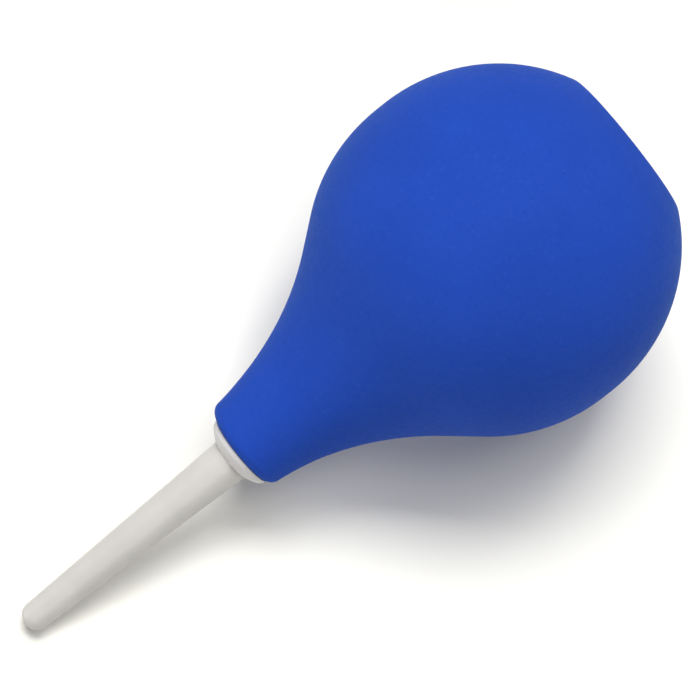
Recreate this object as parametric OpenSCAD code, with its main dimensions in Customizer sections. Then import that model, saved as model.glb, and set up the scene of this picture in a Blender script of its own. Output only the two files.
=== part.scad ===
// Rubber bulb syringe with a detachable hard nozzle, lying as it is put down on a table:
// the belly and the tip of the nozzle both touch the table.
//
// All pieces are bodies of revolution. They are drawn around one common axis, the local Z,
// with z = 0 at the mould line of the belly and +z towards the tip of the nozzle.
// Profiles are 2D shapes with x = radius and y = distance along that axis.
// lay() then puts the axis in its resting position: Z up, table at z = 0,
// nozzle towards -X and pointing down at the table, flat thumb base towards +X.

/* [Bulb] */
// Outer radius of the round belly
belly_r = 40; // [38:0.5:42]
// Straight band between the two rounded halves of the belly
belly_band = 2.2; // [1:0.1:4]
// Distance from the mould line to the flat thumb base
base_dist = 38; // [37:0.5:39]
// Rounding between the belly and the flat thumb base
base_round = 3; // [1.5:0.5:5]
// Slope of the shoulder that leads from the belly to the neck, in degrees
shoulder_angle = 39; // [38.5:0.25:39.5]
// Straight length of the shoulder
shoulder_len = 8.6; // [8.2:0.1:8.8]
// Radius of the hollow curve between the shoulder and the neck
neck_curve_r = 68; // [67.5:0.1:68.5]
// Distance from the mould line to the mouth of the neck
mouth_dist = 69.8; // [68:0.2:72]
// Thickness of the rubber wall
wall = 3; // [2:0.1:3.5]
// Outer rounding of the lip around the mouth
lip_round = 2.5; // [1.5:0.1:2.7]
// Height of the fine ridge that the mould leaves around the belly
seam_h = 0.12; // [0.05:0.01:0.3]
// Width of that ridge
seam_w = 0.5; // [0.3:0.1:1]

/* [Thumb base] */
// Radius of the middle of the base that the thumb pushes in
push_r = 15; // [12:0.5:16]
// Gap around it, so that it moves freely in the rest of the rubber
push_gap = 0.2; // [0.15:0.05:0.4]

/* [Neck] */
// Radius of the bore in the neck that grips the collar
neck_bore_r = 7; // [6.8:0.1:7.2]
// Length of that bore
neck_bore_len = 15; // [14:0.5:18]
// Length of the funnel between the bore and the hollow of the belly
funnel_len = 5; // [4:0.5:7]

/* [Collar] */
// Radius of the flange that closes the mouth
flange_r = 8.3; // [8.1:0.1:8.9]
// Thickness of the flange where the nozzle stands on it
flange_t = 3.25; // [2.8:0.05:3.6]
// Radius of the slightly domed front of the flange
flange_dome_r = 17.5; // [16:0.5:30]
// Rounding of the front edge of the flange's rim
flange_round = 1.3; // [0.8:0.1:1.4]
// Rounding of the back edge of the flange's rim
flange_back_round = 0.4; // [0.2:0.1:0.5]
// Length of the sleeve inside the neck
sleeve_len = 13.5; // [13:0.5:13.5]
// Number of barb rings on the sleeve
barb_n = 3; // [1:1:3]
// Length of one barb ring
barb_len = 2.8; // [2:0.2:3]
// Height of a barb ring above the sleeve
barb_h = 0.75; // [0.4:0.05:0.9]
// Distance from one barb ring to the next
barb_pitch = 4; // [3.6:0.1:4]

/* [Nozzle] */
// Radius of the nozzle where it stands on the flange
root_r = 5.05; // [4.8:0.05:5.4]
// Radius of the nozzle at its tip, before the rounding
tip_r = 3.35; // [3:0.05:3.6]
// Length of the nozzle outside the collar
nozzle_len = 59.1; // [50:0.1:70]
// Rounding of the tip
tip_round = 1.6; // [1.2:0.1:1.7]
// Radius of the channel through the nozzle
channel_r = 2; // [1.8:0.1:2.2]
// Radius of the outlet in the tip
outlet_r = 1.5; // [1.2:0.1:1.6]
// Length of the outlet
outlet_len = 6; // [4:0.5:10]
// Radius of the spigot that plugs into the collar
spigot_r = 4.05; // [3.8:0.05:4.2]
// Length of the spigot
spigot_len = 11; // [9:0.5:14]

/* [Fits] */
// Radial clearance of the sleeve and its barbs in the neck
neck_fit = 0.08; // [0.05:0.01:0.1]
// Radial clearance of the spigot in the collar
spigot_fit = 0.05; // [0.03:0.01:0.1]
// Gap between faces that stop against each other
face_gap = 0.05; // [0.03:0.01:0.1]
// How far the soft belly settles where it rests on the table
settle = 0.2; // [0.1:0.05:0.4]

/* [Hidden] */
$fn = 160;
eps = 0.01;

// Shoulder and neck: a straight cone tangent to the belly, then a hollow arc tangent to the cone.
// The centre of the hollow arc is outside the neck, at (arc_x, arc_z).
arc_x = belly_r * cos(shoulder_angle) - shoulder_len * sin(shoulder_angle)
      + neck_curve_r * cos(shoulder_angle);
arc_z = belly_r * sin(shoulder_angle) + shoulder_len * cos(shoulder_angle)
      + neck_curve_r * sin(shoulder_angle);
// Radius of the rubber on the hollow arc at distance z, for a surface d inside the outer one
function neck_r(z, d = 0) = arc_x - sqrt(pow(neck_curve_r + d, 2) - pow(z - arc_z, 2));
lip_x = neck_r(mouth_dist - lip_round) - lip_round;   // centre of the lip's rounding

bore_z = mouth_dist - neck_bore_len;   // inner end of the neck bore
funnel_z = bore_z - funnel_len;        // where the funnel meets the hollow of the belly

flange_z = mouth_dist + face_gap;      // back of the flange
front_z = flange_z + flange_t;         // front of the flange, under the nozzle's shoulder
sleeve_r = neck_bore_r - neck_fit;
sleeve_z = flange_z - sleeve_len;      // inner end of the sleeve
barb_z = sleeve_z + 0.8;               // start of the first barb ring
socket_r = spigot_r + spigot_fit;

root_z = front_z + face_gap;           // shoulder of the nozzle
tip_z = root_z + nozzle_len;           // end of the nozzle
spigot_z = root_z - spigot_len;        // inner end of the spigot

// Resting position. The middle of the front half of the belly stands belly_r - settle above
// the table. The tilt brings the rounded edge of the tip down to the table.
rest_h = belly_r - settle;
tip_ring_r = tip_r - tip_round;
tip_ring_z = tip_z - tip_round;
tilt = asin((rest_h - tip_round) / norm([tip_ring_z, tip_ring_r])) - atan2(tip_ring_r, tip_ring_z);
// Centre of the rounding at the edge of the thumb base
edge_z = base_round - base_dist;
edge_r = sqrt(pow(belly_r - base_round, 2) - pow(edge_z + belly_band, 2));
// Reach of the whole object along X on both sides of the belly's middle
reach_tip = tip_ring_z * cos(tilt) + tip_ring_r * sin(tilt) + tip_round;
reach_base = -edge_z * cos(tilt) + edge_r * sin(tilt) + base_round;
belly_x = (reach_tip - reach_base) / 2;

module lay() {
    translate([belly_x, 0, rest_h]) rotate([0, -(90 + tilt), 0]) children();
}

// Everything with a positive radius between two distances along the axis
module span2d(z0, z1, r = 100) {
    translate([0, z0]) square([r, z1 - z0]);
}

// Solid pear profile, d inside the outer surface of the rubber, open at the neck end
module pear2d(d, z_end) {
    r = belly_r - d;
    e_r = max(base_round - d, 0.4);                       // rounding of the base edge
    floor_z = d - base_dist;
    e_z = floor_z + e_r;
    e_x = sqrt(pow(r - e_r, 2) - pow(e_z + belly_band, 2));
    k = (r - e_r) / r;                                    // the rounding meets the belly at z_j
    z_j = (e_z + belly_band) / k - belly_band;
    // back half of the belly
    intersection() {
        translate([0, -belly_band]) circle(r);
        span2d(z_j, -belly_band);
    }
    // flat base with its rounded edge
    translate([0, floor_z]) square([e_x, z_j - floor_z]);
    intersection() {
        translate([e_x, e_z]) circle(e_r);
        span2d(floor_z, z_j);
    }
    // straight band and front half of the belly
    translate([0, -belly_band]) square([r, belly_band]);
    z1 = r * sin(shoulder_angle);
    x1 = r * cos(shoulder_angle);
    intersection() {
        circle(r);
        span2d(0, z1);
    }
    // straight shoulder
    z2 = arc_z - (neck_curve_r + d) * sin(shoulder_angle);
    x2 = arc_x - (neck_curve_r + d) * cos(shoulder_angle);
    polygon([[0, z1], [x1, z1], [x2, z2], [0, z2]]);
    // hollow curve of the neck
    difference() {
        translate([0, z2]) square([x2, z_end - z2]);
        translate([arc_x, arc_z]) circle(neck_curve_r + d, $fn = 720);
    }
}

// The outer profile of the rubber, with the rounded lip at the mouth
module bulb_outer2d() {
    pear2d(0, mouth_dist - lip_round);
    translate([0, mouth_dist - lip_round]) square([lip_x, lip_round]);
    intersection() {
        translate([lip_x, mouth_dist - lip_round]) circle(lip_round);
        span2d(mouth_dist - lip_round, mouth_dist);
    }
    // fine ridge of the mould line
    translate([0, -seam_w / 2]) square([belly_r + seam_h, seam_w]);
}

// The hollow of the rubber: the belly, the funnel and the bore of the neck
module bulb_hollow2d() {
    pear2d(wall, funnel_z);
    polygon([[0, funnel_z - eps], [neck_r(funnel_z, wall), funnel_z - eps],
             [neck_r(funnel_z, wall), funnel_z], [neck_bore_r, bore_z], [0, bore_z]]);
    translate([0, bore_z - eps]) square([neck_bore_r, neck_bore_len + 1]);
    // a small chamfer lets the collar in
    polygon([[0, mouth_dist - 0.6], [neck_bore_r, mouth_dist - 0.6],
             [neck_bore_r + 0.6, mouth_dist], [neck_bore_r + 0.6, mouth_dist + 1], [0, mouth_dist + 1]]);
    // grooves that the barb rings press into the rubber
    for (i = [0 : barb_n - 1]) {
        z = barb_z + i * barb_pitch;
        polygon([[0, z - 0.1], [neck_bore_r, z - 0.1], [sleeve_r + barb_h + neck_fit, z + barb_len],
                 [sleeve_r + barb_h + neck_fit, z + barb_len + 0.1], [0, z + barb_len + 0.1]]);
    }
}

// One-piece hollow rubber bulb: belly, shoulder, neck and lip. The middle of its flat base
// is the next piece.
module bulb() {
    color([0.15, 0.31, 0.76])
    difference() {
        lay() rotate_extrude() difference() {
            bulb_outer2d();
            bulb_hollow2d();
            translate([0, -base_dist - 1]) square([push_r + push_gap, wall + 2]);
        }
        // the soft belly is flat where it rests
        translate([-150, -150, -50]) cube([300, 300, 50]);
    }
}

// The middle of the flat rubber base, which the thumb pushes into the belly
module bulb_base() {
    color([0.13, 0.28, 0.72])
    lay() translate([0, 0, -base_dist]) cylinder(r = push_r, h = wall);
}

// Hard collar: the domed flange in front of the mouth and the barbed sleeve inside the neck,
// with a plain socket for the nozzle right through it
module neck_collar() {
    rim_x = flange_r - flange_round;
    dome_z = front_z - sqrt(pow(flange_dome_r, 2) - pow(root_r, 2));
    // the rim's front rounding is tangent to the dome
    rim_z = dome_z + sqrt(pow(flange_dome_r - flange_round, 2) - pow(rim_x, 2));
    tan_x = rim_x * flange_dome_r / (flange_dome_r - flange_round);
    back_x = flange_r - flange_back_round;
    back_z = flange_z + flange_back_round;
    color([0.80, 0.79, 0.78])
    lay() rotate_extrude() difference() {
        union() {
            // flange: back edge, rim, rounded front edge, dome
            translate([0, flange_z]) square([back_x, flange_back_round]);
            intersection() {
                translate([back_x, back_z]) circle(flange_back_round);
                span2d(flange_z, back_z);
            }
            translate([0, back_z]) square([flange_r, rim_z - back_z]);
            intersection() {
                translate([rim_x, rim_z]) circle(flange_round);
                span2d(back_z, front_z);
            }
            intersection() {
                translate([0, dome_z]) circle(flange_dome_r, $fn = 720);
                translate([0, back_z]) square([tan_x, front_z - back_z]);
            }
            // sleeve with a chamfered end
            polygon([[0, sleeve_z], [sleeve_r - 0.6, sleeve_z], [sleeve_r, sleeve_z + 0.6],
                     [sleeve_r, flange_z + eps], [0, flange_z + eps]]);
            // barb rings: the ramp faces the hollow, the step faces the mouth
            for (i = [0 : barb_n - 1]) {
                z = barb_z + i * barb_pitch;
                polygon([[0, z], [sleeve_r, z], [sleeve_r + barb_h, z + barb_len], [0, z + barb_len]]);
            }
        }
        translate([0, sleeve_z - 1]) square([socket_r, sleeve_len + flange_t + 2]);
    }
}

// Hard tapered nozzle with a rounded tip, a channel right through it and a plain spigot
module nozzle() {
    color([0.88, 0.87, 0.84])
    lay() rotate_extrude() difference() {
        union() {
            polygon([[0, root_z], [root_r - 0.1, root_z], [root_r, root_z + 0.1],
                     [tip_r, tip_ring_z], [0, tip_ring_z]]);
            translate([0, tip_ring_z - eps]) square([tip_ring_r, tip_round + eps]);
            intersection() {
                translate([tip_ring_r, tip_ring_z]) circle(tip_round);
                span2d(tip_ring_z, tip_z);
            }
            polygon([[0, spigot_z], [spigot_r - 0.4, spigot_z], [spigot_r, spigot_z + 0.6],
                     [spigot_r, root_z + eps], [0, root_z + eps]]);
        }
        translate([0, spigot_z - 1]) square([channel_r, tip_z - outlet_len - spigot_z + 1]);
        translate([0, tip_z - outlet_len - 1]) square([outlet_r, outlet_len + 2]);
    }
}

bulb();
bulb_base();
neck_collar();
nozzle();
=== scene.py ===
import math
import bpy
import numpy as np
from mathutils import Matrix, Vector


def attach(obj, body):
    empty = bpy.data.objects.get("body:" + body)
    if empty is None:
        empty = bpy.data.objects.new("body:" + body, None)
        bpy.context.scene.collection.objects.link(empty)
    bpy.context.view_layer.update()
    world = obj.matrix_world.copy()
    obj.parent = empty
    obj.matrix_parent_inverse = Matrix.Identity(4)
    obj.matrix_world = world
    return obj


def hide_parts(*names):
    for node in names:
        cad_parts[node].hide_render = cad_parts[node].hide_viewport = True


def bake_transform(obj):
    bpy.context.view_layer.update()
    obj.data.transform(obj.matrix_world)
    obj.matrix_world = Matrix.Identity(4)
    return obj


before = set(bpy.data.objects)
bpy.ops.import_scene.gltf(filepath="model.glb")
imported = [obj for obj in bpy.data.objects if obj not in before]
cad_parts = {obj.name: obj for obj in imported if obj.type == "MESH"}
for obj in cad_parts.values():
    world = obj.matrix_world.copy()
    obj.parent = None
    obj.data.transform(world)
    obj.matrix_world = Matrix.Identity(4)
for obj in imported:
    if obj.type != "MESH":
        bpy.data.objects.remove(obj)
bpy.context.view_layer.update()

scene = bpy.context.scene

# ---------------------------------------------------------------- camera
# Long lens from high above the lying object, seen from behind its right side.
VIEW_AZ, VIEW_EL = -35.6908, 71.1613
CAM_PLACE = (-0.075774, -0.113246, 0.447815)
LENS_MM = 102.857


def camera_rotation(az, el):
    a, e = math.radians(az), math.radians(el)
    back = Vector((math.sin(a) * math.cos(e), -math.cos(a) * math.cos(e), math.sin(e)))
    right = Vector((math.cos(a), math.sin(a), 0.0))
    up = back.cross(right)
    return Matrix((right, up, back)).transposed(), right, up, back


rotation, RIGHT, UP, BACK = camera_rotation(VIEW_AZ, VIEW_EL)
camera_data = bpy.data.cameras.new("camera")
camera_data.sensor_fit = "HORIZONTAL"
camera_data.sensor_width = 36.0
camera_data.lens = LENS_MM
camera_data.clip_start = 0.01
camera_data.clip_end = 50.0
camera = bpy.data.objects.new("camera", camera_data)
scene.collection.objects.link(camera)
camera.matrix_world = Matrix.Translation(CAM_PLACE) @ rotation.to_4x4()
scene.camera = camera

# ---------------------------------------------------------------- the object's own axis
# Profiles are (radius, distance along the axis) in millimetres, from the mould line of the
# belly, positive towards the tip. place() lays them down as the object lies.
TILT = math.radians(16.23177315)
BELLY_X, REST_H = 43.070232743745805, 39.8


def place(r, z, angle, aside=(0.0, 0.0)):
    x, y = r * math.cos(angle) + aside[0], r * math.sin(angle) + aside[1]
    return (
        (BELLY_X - z * math.cos(TILT) - x * math.sin(TILT)) / 1000,
        y / 1000,
        (REST_H - z * math.sin(TILT) + x * math.cos(TILT)) / 1000,
    )


def line(p, q, step):
    n = max(1, int(round(math.dist(p, q) / step)))
    return [(p[0] + (q[0] - p[0]) * i / n, p[1] + (q[1] - p[1]) * i / n) for i in range(n + 1)]


def arc(cx, cz, r, a0, a1, step):
    """Points on a circle, angles in degrees from the outward radius towards the tip."""
    n = max(2, int(round(abs(math.radians(a1 - a0)) * r / step)))
    return [
        (cx + r * math.cos(math.radians(a0 + (a1 - a0) * i / n)),
         cz + r * math.sin(math.radians(a0 + (a1 - a0) * i / n)))
        for i in range(n + 1)
    ]


def path(*runs):
    out = []
    for run in runs:
        for p in run:
            if not out or math.dist(out[-1], p) > 1e-4:
                out.append((float(p[0]), float(p[1])))
    return out


def revolve(name, profile, segments, shape=None, lean=None, slip=None):
    """Closed surface of revolution. The profile either starts and ends on the axis or is a
    closed loop. shape changes the radius, lean moves a whole ring aside, and slip moves a
    point along the axis."""
    on_axis = profile[0][0] < 1e-6 and profile[-1][0] < 1e-6
    rings, vertices, faces = [], [], []
    for i, (r, z) in enumerate(profile):
        if r < 1e-6:
            rings.append([len(vertices)])
            vertices.append(place(0.0, z, 0.0))
            continue
        row = []
        aside = lean(r, z) if lean else (0.0, 0.0)
        for j in range(segments):
            angle = 2 * math.pi * j / segments
            rr = r + (shape(r, z, angle) if shape else 0.0)
            zz = z + (slip(r, z, angle) if slip else 0.0)
            row.append(len(vertices))
            vertices.append(place(rr, zz, angle, aside))
        rings.append(row)
    pairs = list(zip(rings, rings[1:]))
    if not on_axis:
        pairs.append((rings[-1], rings[0]))
    for a, b in pairs:
        for j in range(segments):
            k = (j + 1) % segments
            if len(a) == 1:
                faces.append((a[0], b[k], b[j]))
            elif len(b) == 1:
                faces.append((a[j], a[k], b[0]))
            else:
                faces.append((a[j], a[k], b[k], b[j]))
    mesh = bpy.data.meshes.new(name)
    mesh.from_pydata(vertices, [], faces)
    mesh.update()
    mesh.polygons.foreach_set("use_smooth", [True] * len(mesh.polygons))
    piece = bpy.data.objects.new(name, mesh)
    scene.collection.objects.link(piece)
    return piece


def signed_volume(mesh):
    co = np.zeros(len(mesh.vertices) * 3)
    mesh.vertices.foreach_get("co", co)
    co = co.reshape(-1, 3)
    mesh.calc_loop_triangles()
    tri = np.zeros(len(mesh.loop_triangles) * 3, dtype=np.int64)
    mesh.loop_triangles.foreach_get("vertices", tri)
    a, b, c = co[tri.reshape(-1, 3)].transpose(1, 0, 2)
    return float((a * np.cross(b, c)).sum() / 6)


def outward(piece):
    if signed_volume(piece.data) < 0:
        piece.data.flip_normals()
    return piece


# ---------------------------------------------------------------- materials
def new_material(name):
    material = bpy.data.materials.new(name)
    material.use_nodes = True
    tree = material.node_tree
    return material, tree, tree.nodes["Principled BSDF"]


def node(tree, kind, **values):
    n = tree.nodes.new(kind)
    for key, value in values.items():
        if key in n.inputs:
            n.inputs[key].default_value = value
        else:
            setattr(n, key, value)
    return n


def noise(tree, where, scale, detail=2.0, rough=0.5):
    n = node(tree, "ShaderNodeTexNoise", noise_dimensions="3D")
    n.inputs["Scale"].default_value = scale
    n.inputs["Detail"].default_value = detail
    n.inputs["Roughness"].default_value = rough
    tree.links.new(where, n.inputs["Vector"])
    return n.outputs["Fac"]


def ramp(tree, value, low, high, to_low=0.0, to_high=1.0):
    n = node(tree, "ShaderNodeMapRange", interpolation_type="SMOOTHSTEP")
    for key, v in (("From Min", low), ("From Max", high), ("To Min", to_low), ("To Max", to_high)):
        n.inputs[key].default_value = v
    tree.links.new(value, n.inputs["Value"])
    return n.outputs["Result"]


def mix(tree, factor, a, b, blend="MIX"):
    n = tree.nodes.new("ShaderNodeMix")
    n.data_type = "RGBA"
    n.blend_type = blend
    n.clamp_factor = True
    fac = n.inputs[0]
    ins = [s for s in n.inputs if s.type == "RGBA"]
    if hasattr(factor, "is_output"):
        tree.links.new(factor, fac)
    else:
        fac.default_value = factor
    for socket, v in zip(ins, (a, b)):
        if hasattr(v, "is_output"):
            tree.links.new(v, socket)
        else:
            socket.default_value = (*v, 1.0)
    return [s for s in n.outputs if s.type == "RGBA"][0]


def math_node(tree, op, a, b):
    n = node(tree, "ShaderNodeMath", operation=op)
    for socket, v in zip(n.inputs, (a, b)):
        if hasattr(v, "is_output"):
            tree.links.new(v, socket)
        else:
            socket.default_value = v
    return n.outputs[0]


def rubber_material():
    """Dull, powdery, dip-dull blue rubber: fine light and dark specks, no gloss."""
    material, tree, shader = new_material("powdery_blue_rubber")
    coords = tree.nodes.new("ShaderNodeTexCoord").outputs["Object"]
    base = (0.0130, 0.0575, 0.3880)
    light = (0.0185, 0.0710, 0.4420)
    dark = (0.0098, 0.0465, 0.3340)
    cloud = ramp(tree, noise(tree, coords, 45.0, 2.0), 0.35, 0.65)
    colour = mix(tree, cloud, tuple(c * 0.97 for c in base), tuple(c * 1.03 for c in base))
    specks = ramp(tree, noise(tree, coords, 900.0, 3.0, 0.6), 0.56, 0.72)
    colour = mix(tree, math_node(tree, "MULTIPLY", specks, 0.55), colour, light)
    pits = ramp(tree, noise(tree, coords, 1150.0, 2.0, 0.55), 0.58, 0.74)
    colour = mix(tree, math_node(tree, "MULTIPLY", pits, 0.55), colour, dark)
    tree.links.new(colour, shader.inputs["Base Color"])
    rough = ramp(tree, noise(tree, coords, 700.0, 3.0), 0.3, 0.7, 0.72, 0.88)
    tree.links.new(rough, shader.inputs["Roughness"])
    shader.inputs["Specular IOR Level"].default_value = 0.08
    shader.inputs["Sheen Weight"].default_value = 0.05
    shader.inputs["Sheen Roughness"].default_value = 0.45
    shader.inputs["Sheen Tint"].default_value = (0.22, 0.68, 0.90, 1.0)
    grain = noise(tree, coords, 1800.0, 4.0, 0.6)
    bump = node(tree, "ShaderNodeBump", Strength=0.25, Distance=0.00006)
    tree.links.new(grain, bump.inputs["Height"])
    tree.links.new(bump.outputs["Normal"], shader.inputs["Normal"])
    return material


def plastic_material(name, colour, rough_low, rough_high, seed):
    """Satin moulded plastic, very slightly uneven."""
    material, tree, shader = new_material(name)
    coords = tree.nodes.new("ShaderNodeTexCoord").outputs["Object"]
    shifted = node(tree, "ShaderNodeVectorMath", operation="ADD")
    shifted.inputs[1].default_value = (seed, seed * 0.7, seed * 1.3)
    tree.links.new(coords, shifted.inputs[0])
    where = shifted.outputs[0]
    cloud = ramp(tree, noise(tree, where, 120.0, 2.0), 0.35, 0.65)
    base = mix(tree, cloud, tuple(c * 0.975 for c in colour), tuple(min(1.0, c * 1.02) for c in colour))
    tree.links.new(base, shader.inputs["Base Color"])
    rough = ramp(tree, noise(tree, where, 500.0, 2.0), 0.3, 0.7, rough_low, rough_high)
    tree.links.new(rough, shader.inputs["Roughness"])
    shader.inputs["Specular IOR Level"].default_value = 0.4
    bump = node(tree, "ShaderNodeBump", Strength=0.12, Distance=0.00005)
    tree.links.new(noise(tree, where, 1200.0, 3.0), bump.inputs["Height"])
    tree.links.new(bump.outputs["Normal"], shader.inputs["Normal"])
    return material


RUBBER = rubber_material()
COLLAR = plastic_material("satin_collar_plastic", (0.62, 0.605, 0.605), 0.42, 0.55, 0.31)
NOZZLE = plastic_material("satin_nozzle_plastic", (0.55, 0.533, 0.510), 0.38, 0.50, 0.83)

# ---------------------------------------------------------------- rubber bulb
R, WALL = 40.0, 3.0
BAND, BASE = 2.2, 38.0
EDGE = 3.0
SHOULDER = 39.0
NECK_X, NECK_Z, NECK_R = 78.51961, 74.65006, 68.0
MOUTH, MOUTH_R, LIP = 69.8, 10.6928, 2.5
BORE_R, BORE_Z, FUNNEL_Z = 7.0, 54.8, 49.8
BARB_Z, BARB_PITCH, BARB_LEN, BARB_R = 57.15, 4.0, 2.8, 7.67


def neck_radius(z, d=0.0):
    return NECK_X - math.sqrt((NECK_R + d) ** 2 - (z - NECK_Z) ** 2)


def skin(d, z_end, edge, step, seam=False):
    """Outline of the rubber, d inside its outer surface, from the middle of the base to z_end."""
    r = R - d
    floor = d - BASE
    ez = floor + edge
    ex = math.sqrt((r - edge) ** 2 - (ez + BAND) ** 2)
    a_edge = math.degrees(math.atan2(ez + BAND, ex))       # where the rounding meets the belly
    nr = NECK_R + d
    a2 = 180.0 + math.degrees(math.asin((NECK_Z - z_end) / nr))
    s = math.radians(SHOULDER)
    near = math.degrees(0.6 / r)
    fine = 0.1 if seam else step
    return path(
        line((0.0, floor), (ex, floor), step * 2),
        arc(ex, ez, edge, -90.0, a_edge, min(step * 0.4, edge * 0.3)),
        arc(0.0, -BAND, r, a_edge, 0.0, step),
        line((r, -BAND), (r, -0.6), step * 0.7),
        line((r, -0.6), (r, 0.0), fine),
        arc(0.0, 0.0, r, 0.0, near, fine),
        arc(0.0, 0.0, r, near, SHOULDER, step),
        line((r * math.cos(s), r * math.sin(s)),
             (NECK_X - nr * math.cos(s), NECK_Z - nr * math.sin(s)), step),
        arc(NECK_X, NECK_Z, nr, 180.0 + SHOULDER, a2, step),
    )


outer = skin(0.0, MOUTH - LIP, EDGE, 0.7, seam=True)
lip_x = neck_radius(MOUTH - LIP) - LIP
lip = arc(lip_x, MOUTH - LIP, LIP, 0.0, 90.0, 0.25)
grooves = []
for i in (2, 1, 0):                        # the rings of the collar's sleeve press into the rubber
    z = BARB_Z + i * BARB_PITCH
    grooves += [(BORE_R, z + BARB_LEN + 0.1), (BARB_R + 0.08, z + BARB_LEN + 0.1),
                (BARB_R + 0.08, z + BARB_LEN), (BORE_R, z - 0.1)]
bore = path(
    line((lip_x, MOUTH), (BORE_R + 0.6, MOUTH), 0.4),
    line((BORE_R + 0.6, MOUTH), (BORE_R, MOUTH - 0.6), 0.2),
    grooves,
    [(BORE_R, BORE_Z)],
)
inner = skin(WALL, FUNNEL_Z, 0.4, 3.0)[::-1]
profile = path(outer, lip, bore, inner)


# Bits of flash left on the mould line: angle and half-length in degrees, height in mm.
FLASH = ((60.0, 1.3, 0.11), (-8.0, 2.2, 0.05), (-90.0, 1.2, 0.12), (128.0, 1.8, 0.07),
         (171.0, 1.2, 0.09), (-137.0, 2.4, 0.05), (26.0, 0.9, 0.03), (-52.0, 1.4, 0.03))


def bulb_shape(r, z, angle):
    """The mould line, on the outer surface only: hardly raised, with a few bits of flash."""
    if r < R - 1.0 or abs(z) > 0.6:
        return 0.0
    height = 0.016
    for centre, half, top in FLASH:
        off = (math.degrees(angle) - centre + 180.0) % 360.0 - 180.0
        height += top * math.exp(-((off / half) ** 2))
    return height * math.exp(-((z / 0.2) ** 2))


def smooth(t):
    t = min(1.0, max(0.0, t))
    return t * t * (3.0 - 2.0 * t)


def neck_lean(r, z):
    """The soft neck leans 0.65 mm to one side of the collar that it grips; its bore doesn't."""
    if z < 28.0 or (z < BORE_Z and r < neck_radius(z) - 1.0):
        return (0.0, 0.0)
    amount = 0.65 * smooth((z - 28.0) / 34.0) * smooth((r - 7.75) / 0.5)
    return (0.263 * amount, 0.965 * amount)


def lip_slip(r, z, angle):
    """On the side that it leans to, the lip stands back from the collar by up to 0.3 mm."""
    if z < 60.0 or r < 7.75:
        return 0.0
    side = max(0.0, 0.263 * math.cos(angle) + 0.965 * math.sin(angle))
    return -0.3 * side * side * smooth((z - 60.0) / 8.0) * smooth((r - 7.75) / 0.6)


bulb = outward(revolve("rubber_bulb", profile, 360, bulb_shape, neck_lean, lip_slip))
co = np.zeros(len(bulb.data.vertices) * 3)
bulb.data.vertices.foreach_get("co", co)
co = co.reshape(-1, 3)
co[:, 2] = np.maximum(co[:, 2], 0.0)       # flat where the belly rests
bulb.data.vertices.foreach_set("co", co.ravel())
bulb.data.update()
bulb.data.materials.append(RUBBER)

# ---------------------------------------------------------------- collar and nozzle
# Collar: barbed sleeve, flange with a rounded rim and a slightly domed front, plain socket.
SOCKET_R, SLEEVE_R, SLEEVE_Z = 4.1, 6.92, 56.35
FLANGE_R, FLANGE_Z, FRONT_Z = 8.7, 69.85, 73.1
RIM_ROUND, BACK_ROUND, DOME_R, ROOT_R = 1.5, 0.12, 13.0, 5.05
dome_z = FRONT_Z - math.sqrt(DOME_R ** 2 - ROOT_R ** 2)
rim_x = FLANGE_R - RIM_ROUND
rim_z = dome_z + math.sqrt((DOME_R - RIM_ROUND) ** 2 - rim_x ** 2)
a_rim = math.degrees(math.atan2(rim_z - dome_z, rim_x))
a_root = math.degrees(math.acos(ROOT_R / DOME_R))
rings = []
for i in range(3):
    z = BARB_Z + i * BARB_PITCH
    rings += [(SLEEVE_R, z), (BARB_R - 0.04, z + BARB_LEN - 0.12), (BARB_R, z + BARB_LEN - 0.05),
              (BARB_R - 0.05, z + BARB_LEN), (SLEEVE_R, z + BARB_LEN)]
collar_profile = path(
    [(SOCKET_R, SLEEVE_Z + 0.1), (SOCKET_R + 0.1, SLEEVE_Z)],
    [(SLEEVE_R - 0.6, SLEEVE_Z), (SLEEVE_R, SLEEVE_Z + 0.6)],
    rings,
    [(SLEEVE_R, FLANGE_Z)],
    line((SLEEVE_R + 0.3, FLANGE_Z), (FLANGE_R - BACK_ROUND, FLANGE_Z), 0.3),
    arc(FLANGE_R - BACK_ROUND, FLANGE_Z + BACK_ROUND, BACK_ROUND, -90.0, 0.0, 0.07),
    line((FLANGE_R, FLANGE_Z + BACK_ROUND), (FLANGE_R, rim_z), 0.2),
    arc(rim_x, rim_z, RIM_ROUND, 0.0, a_rim, 0.1),
    arc(0.0, dome_z, DOME_R, a_rim, a_root, 0.15),
    [(ROOT_R - 0.2, FRONT_Z), (SOCKET_R + 0.12, FRONT_Z), (SOCKET_R, FRONT_Z - 0.12)],
    line((SOCKET_R, FRONT_Z - 0.4), (SOCKET_R, SLEEVE_Z + 0.5), 2.0),
)
collar = outward(revolve("neck_collar_piece", collar_profile, 160))
collar.data.materials.append(COLLAR)

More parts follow.
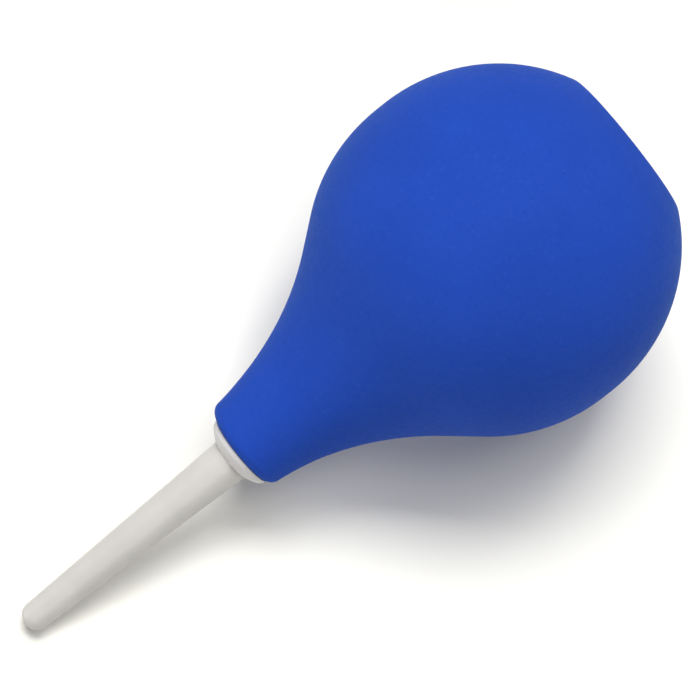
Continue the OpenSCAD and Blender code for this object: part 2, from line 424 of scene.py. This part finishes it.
# Nozzle: long taper with a rounded tip, a channel with a narrower outlet, and a plain spigot.
TIP_R, TIP_Z, ROOT_Z = 3.35, 132.25, 73.105
NOSE_LEN, OUTLET_EDGE = 2.9, 1.7           # the nose is half an ellipse, open at the outlet
SPIGOT_R, SPIGOT_Z, CHANNEL_R, OUTLET_R, OUTLET_LEN = 4.05, 62.15, 2.0, 1.5, 6.0
nose_z = TIP_Z - NOSE_LEN * math.sqrt(1.0 - (OUTLET_EDGE / TIP_R) ** 2)
turns = [math.radians(3.0 * i) for i in range(int(math.degrees(math.acos(OUTLET_EDGE / TIP_R)) / 3.0) + 1)]
nose = [(TIP_R * math.cos(t), nose_z + NOSE_LEN * math.sin(t)) for t in turns] + [(OUTLET_EDGE, TIP_Z)]
nozzle_profile = path(
    [(CHANNEL_R + 0.05, SPIGOT_Z), (SPIGOT_R - 0.4, SPIGOT_Z), (SPIGOT_R, SPIGOT_Z + 0.6)],
    line((SPIGOT_R, SPIGOT_Z + 0.6), (SPIGOT_R, ROOT_Z), 2.0),
    line((SPIGOT_R + 0.1, ROOT_Z), (ROOT_R - 0.03, ROOT_Z), 0.2),
    line((ROOT_R, ROOT_Z + 0.03), (TIP_R, nose_z), 0.8),
    nose,
    arc(OUTLET_R + 0.2, TIP_Z - 0.2, 0.2, 90.0, 180.0, 0.05),
    line((OUTLET_R, TIP_Z - 0.2), (OUTLET_R, TIP_Z - OUTLET_LEN), 0.8),
    [(CHANNEL_R, TIP_Z - OUTLET_LEN - 0.05)],
    line((CHANNEL_R, TIP_Z - OUTLET_LEN - 0.5), (CHANNEL_R, SPIGOT_Z + 0.05), 4.0),
)


def nozzle_lean(r, z):
    """The nozzle sits a little askew in its push fit: 0.3 mm to one side at its tip."""
    return (0.0, -0.3 * max(0.0, (z - ROOT_Z) / (TIP_Z - ROOT_Z)))


nozzle = outward(revolve("nozzle_piece", nozzle_profile, 128, lean=nozzle_lean))
nozzle.data.materials.append(NOZZLE)

# ---------------------------------------------------------------- floor, light
def stage_material(name, colour):
    material, tree, shader = new_material(name)
    shader.inputs["Base Color"].default_value = (*colour, 1.0)
    shader.inputs["Roughness"].default_value = 0.9
    shader.inputs["Specular IOR Level"].default_value = 0.0
    return material


floor_mesh = bpy.data.meshes.new("floor")
S = 3.0
floor_mesh.from_pydata([(-S, -S, 0), (S, -S, 0), (S, S, 0), (-S, S, 0)], [], [(0, 1, 2, 3)])
floor = bpy.data.objects.new("floor", floor_mesh)
scene.collection.objects.link(floor)
floor.data.materials.append(stage_material("paper_floor", (0.88, 0.87, 0.815)))

MIDDLE = Vector((0.02, 0.0, 0.02))


def area_light(name, direction, distance, size, power):
    """A softbox: a disk for one size, a rectangle (across, up) for two."""
    data = bpy.data.lights.new(name, "AREA")
    if isinstance(size, tuple):
        data.shape = "RECTANGLE"
        data.size, data.size_y = size
    else:
        data.shape = "DISK"
        data.size = size
    data.energy = power
    light = bpy.data.objects.new(name, data)
    scene.collection.objects.link(light)
    d = Vector(direction).normalized()
    light.location = MIDDLE + d * distance
    light.rotation_euler = d.to_track_quat("Z", "Y").to_euler()
    light.visible_camera = False
    return light


def toward(zenith, turn):
    """Direction to a light, in degrees from straight above and, seen in the picture, from its
    top edge towards its left edge."""
    z, t = math.radians(zenith), math.radians(turn)
    flat_up = Vector((UP.x, UP.y, 0.0)).normalized()
    return (RIGHT * -math.sin(t) + flat_up * math.cos(t)) * math.sin(z) + Vector((0, 0, math.cos(z)))


area_light("key", toward(22.0, -10.0), 3.6, (2.25, 1.35), 127.0)
area_light("overhead", toward(15.0, 270.0), 3.6, 1.8, 38.0)
area_light("fill_low", toward(50.0, 180.0), 3.6, 1.8, 34.0)
area_light("rim_left", toward(80.0, 90.0), 3.6, 1.8, 42.0)

world = bpy.data.worlds.new("world")
scene.world = world
world.use_nodes = True
tree = world.node_tree
faint = tree.nodes["Background"]           # what lights the object
faint.inputs["Color"].default_value = (1, 1, 1, 1)
faint.inputs["Strength"].default_value = 0.01
pale = node(tree, "ShaderNodeBackground")  # what is seen beyond the floor's edge
pale.inputs["Color"].default_value = (1, 1, 1, 1)
pale.inputs["Strength"].default_value = 0.75
either = tree.nodes.new("ShaderNodeMixShader")
tree.links.new(tree.nodes.new("ShaderNodeLightPath").outputs["Is Camera Ray"], either.inputs[0])
tree.links.new(faint.outputs[0], either.inputs[1])
tree.links.new(pale.outputs[0], either.inputs[2])
tree.links.new(either.outputs[0], tree.nodes["World Output"].inputs["Surface"])

scene.view_settings.view_transform = "Standard"
scene.view_settings.look = "None"
scene.view_settings.exposure = 0.0
scene.view_settings.gamma = 1.0

# ---------------------------------------------------------------- what moves with what
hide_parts("bulb", "bulb_base")
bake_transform(bulb)
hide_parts("neck_collar")
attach(collar, "collar")
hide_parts("nozzle")
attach(nozzle, "nozzle")
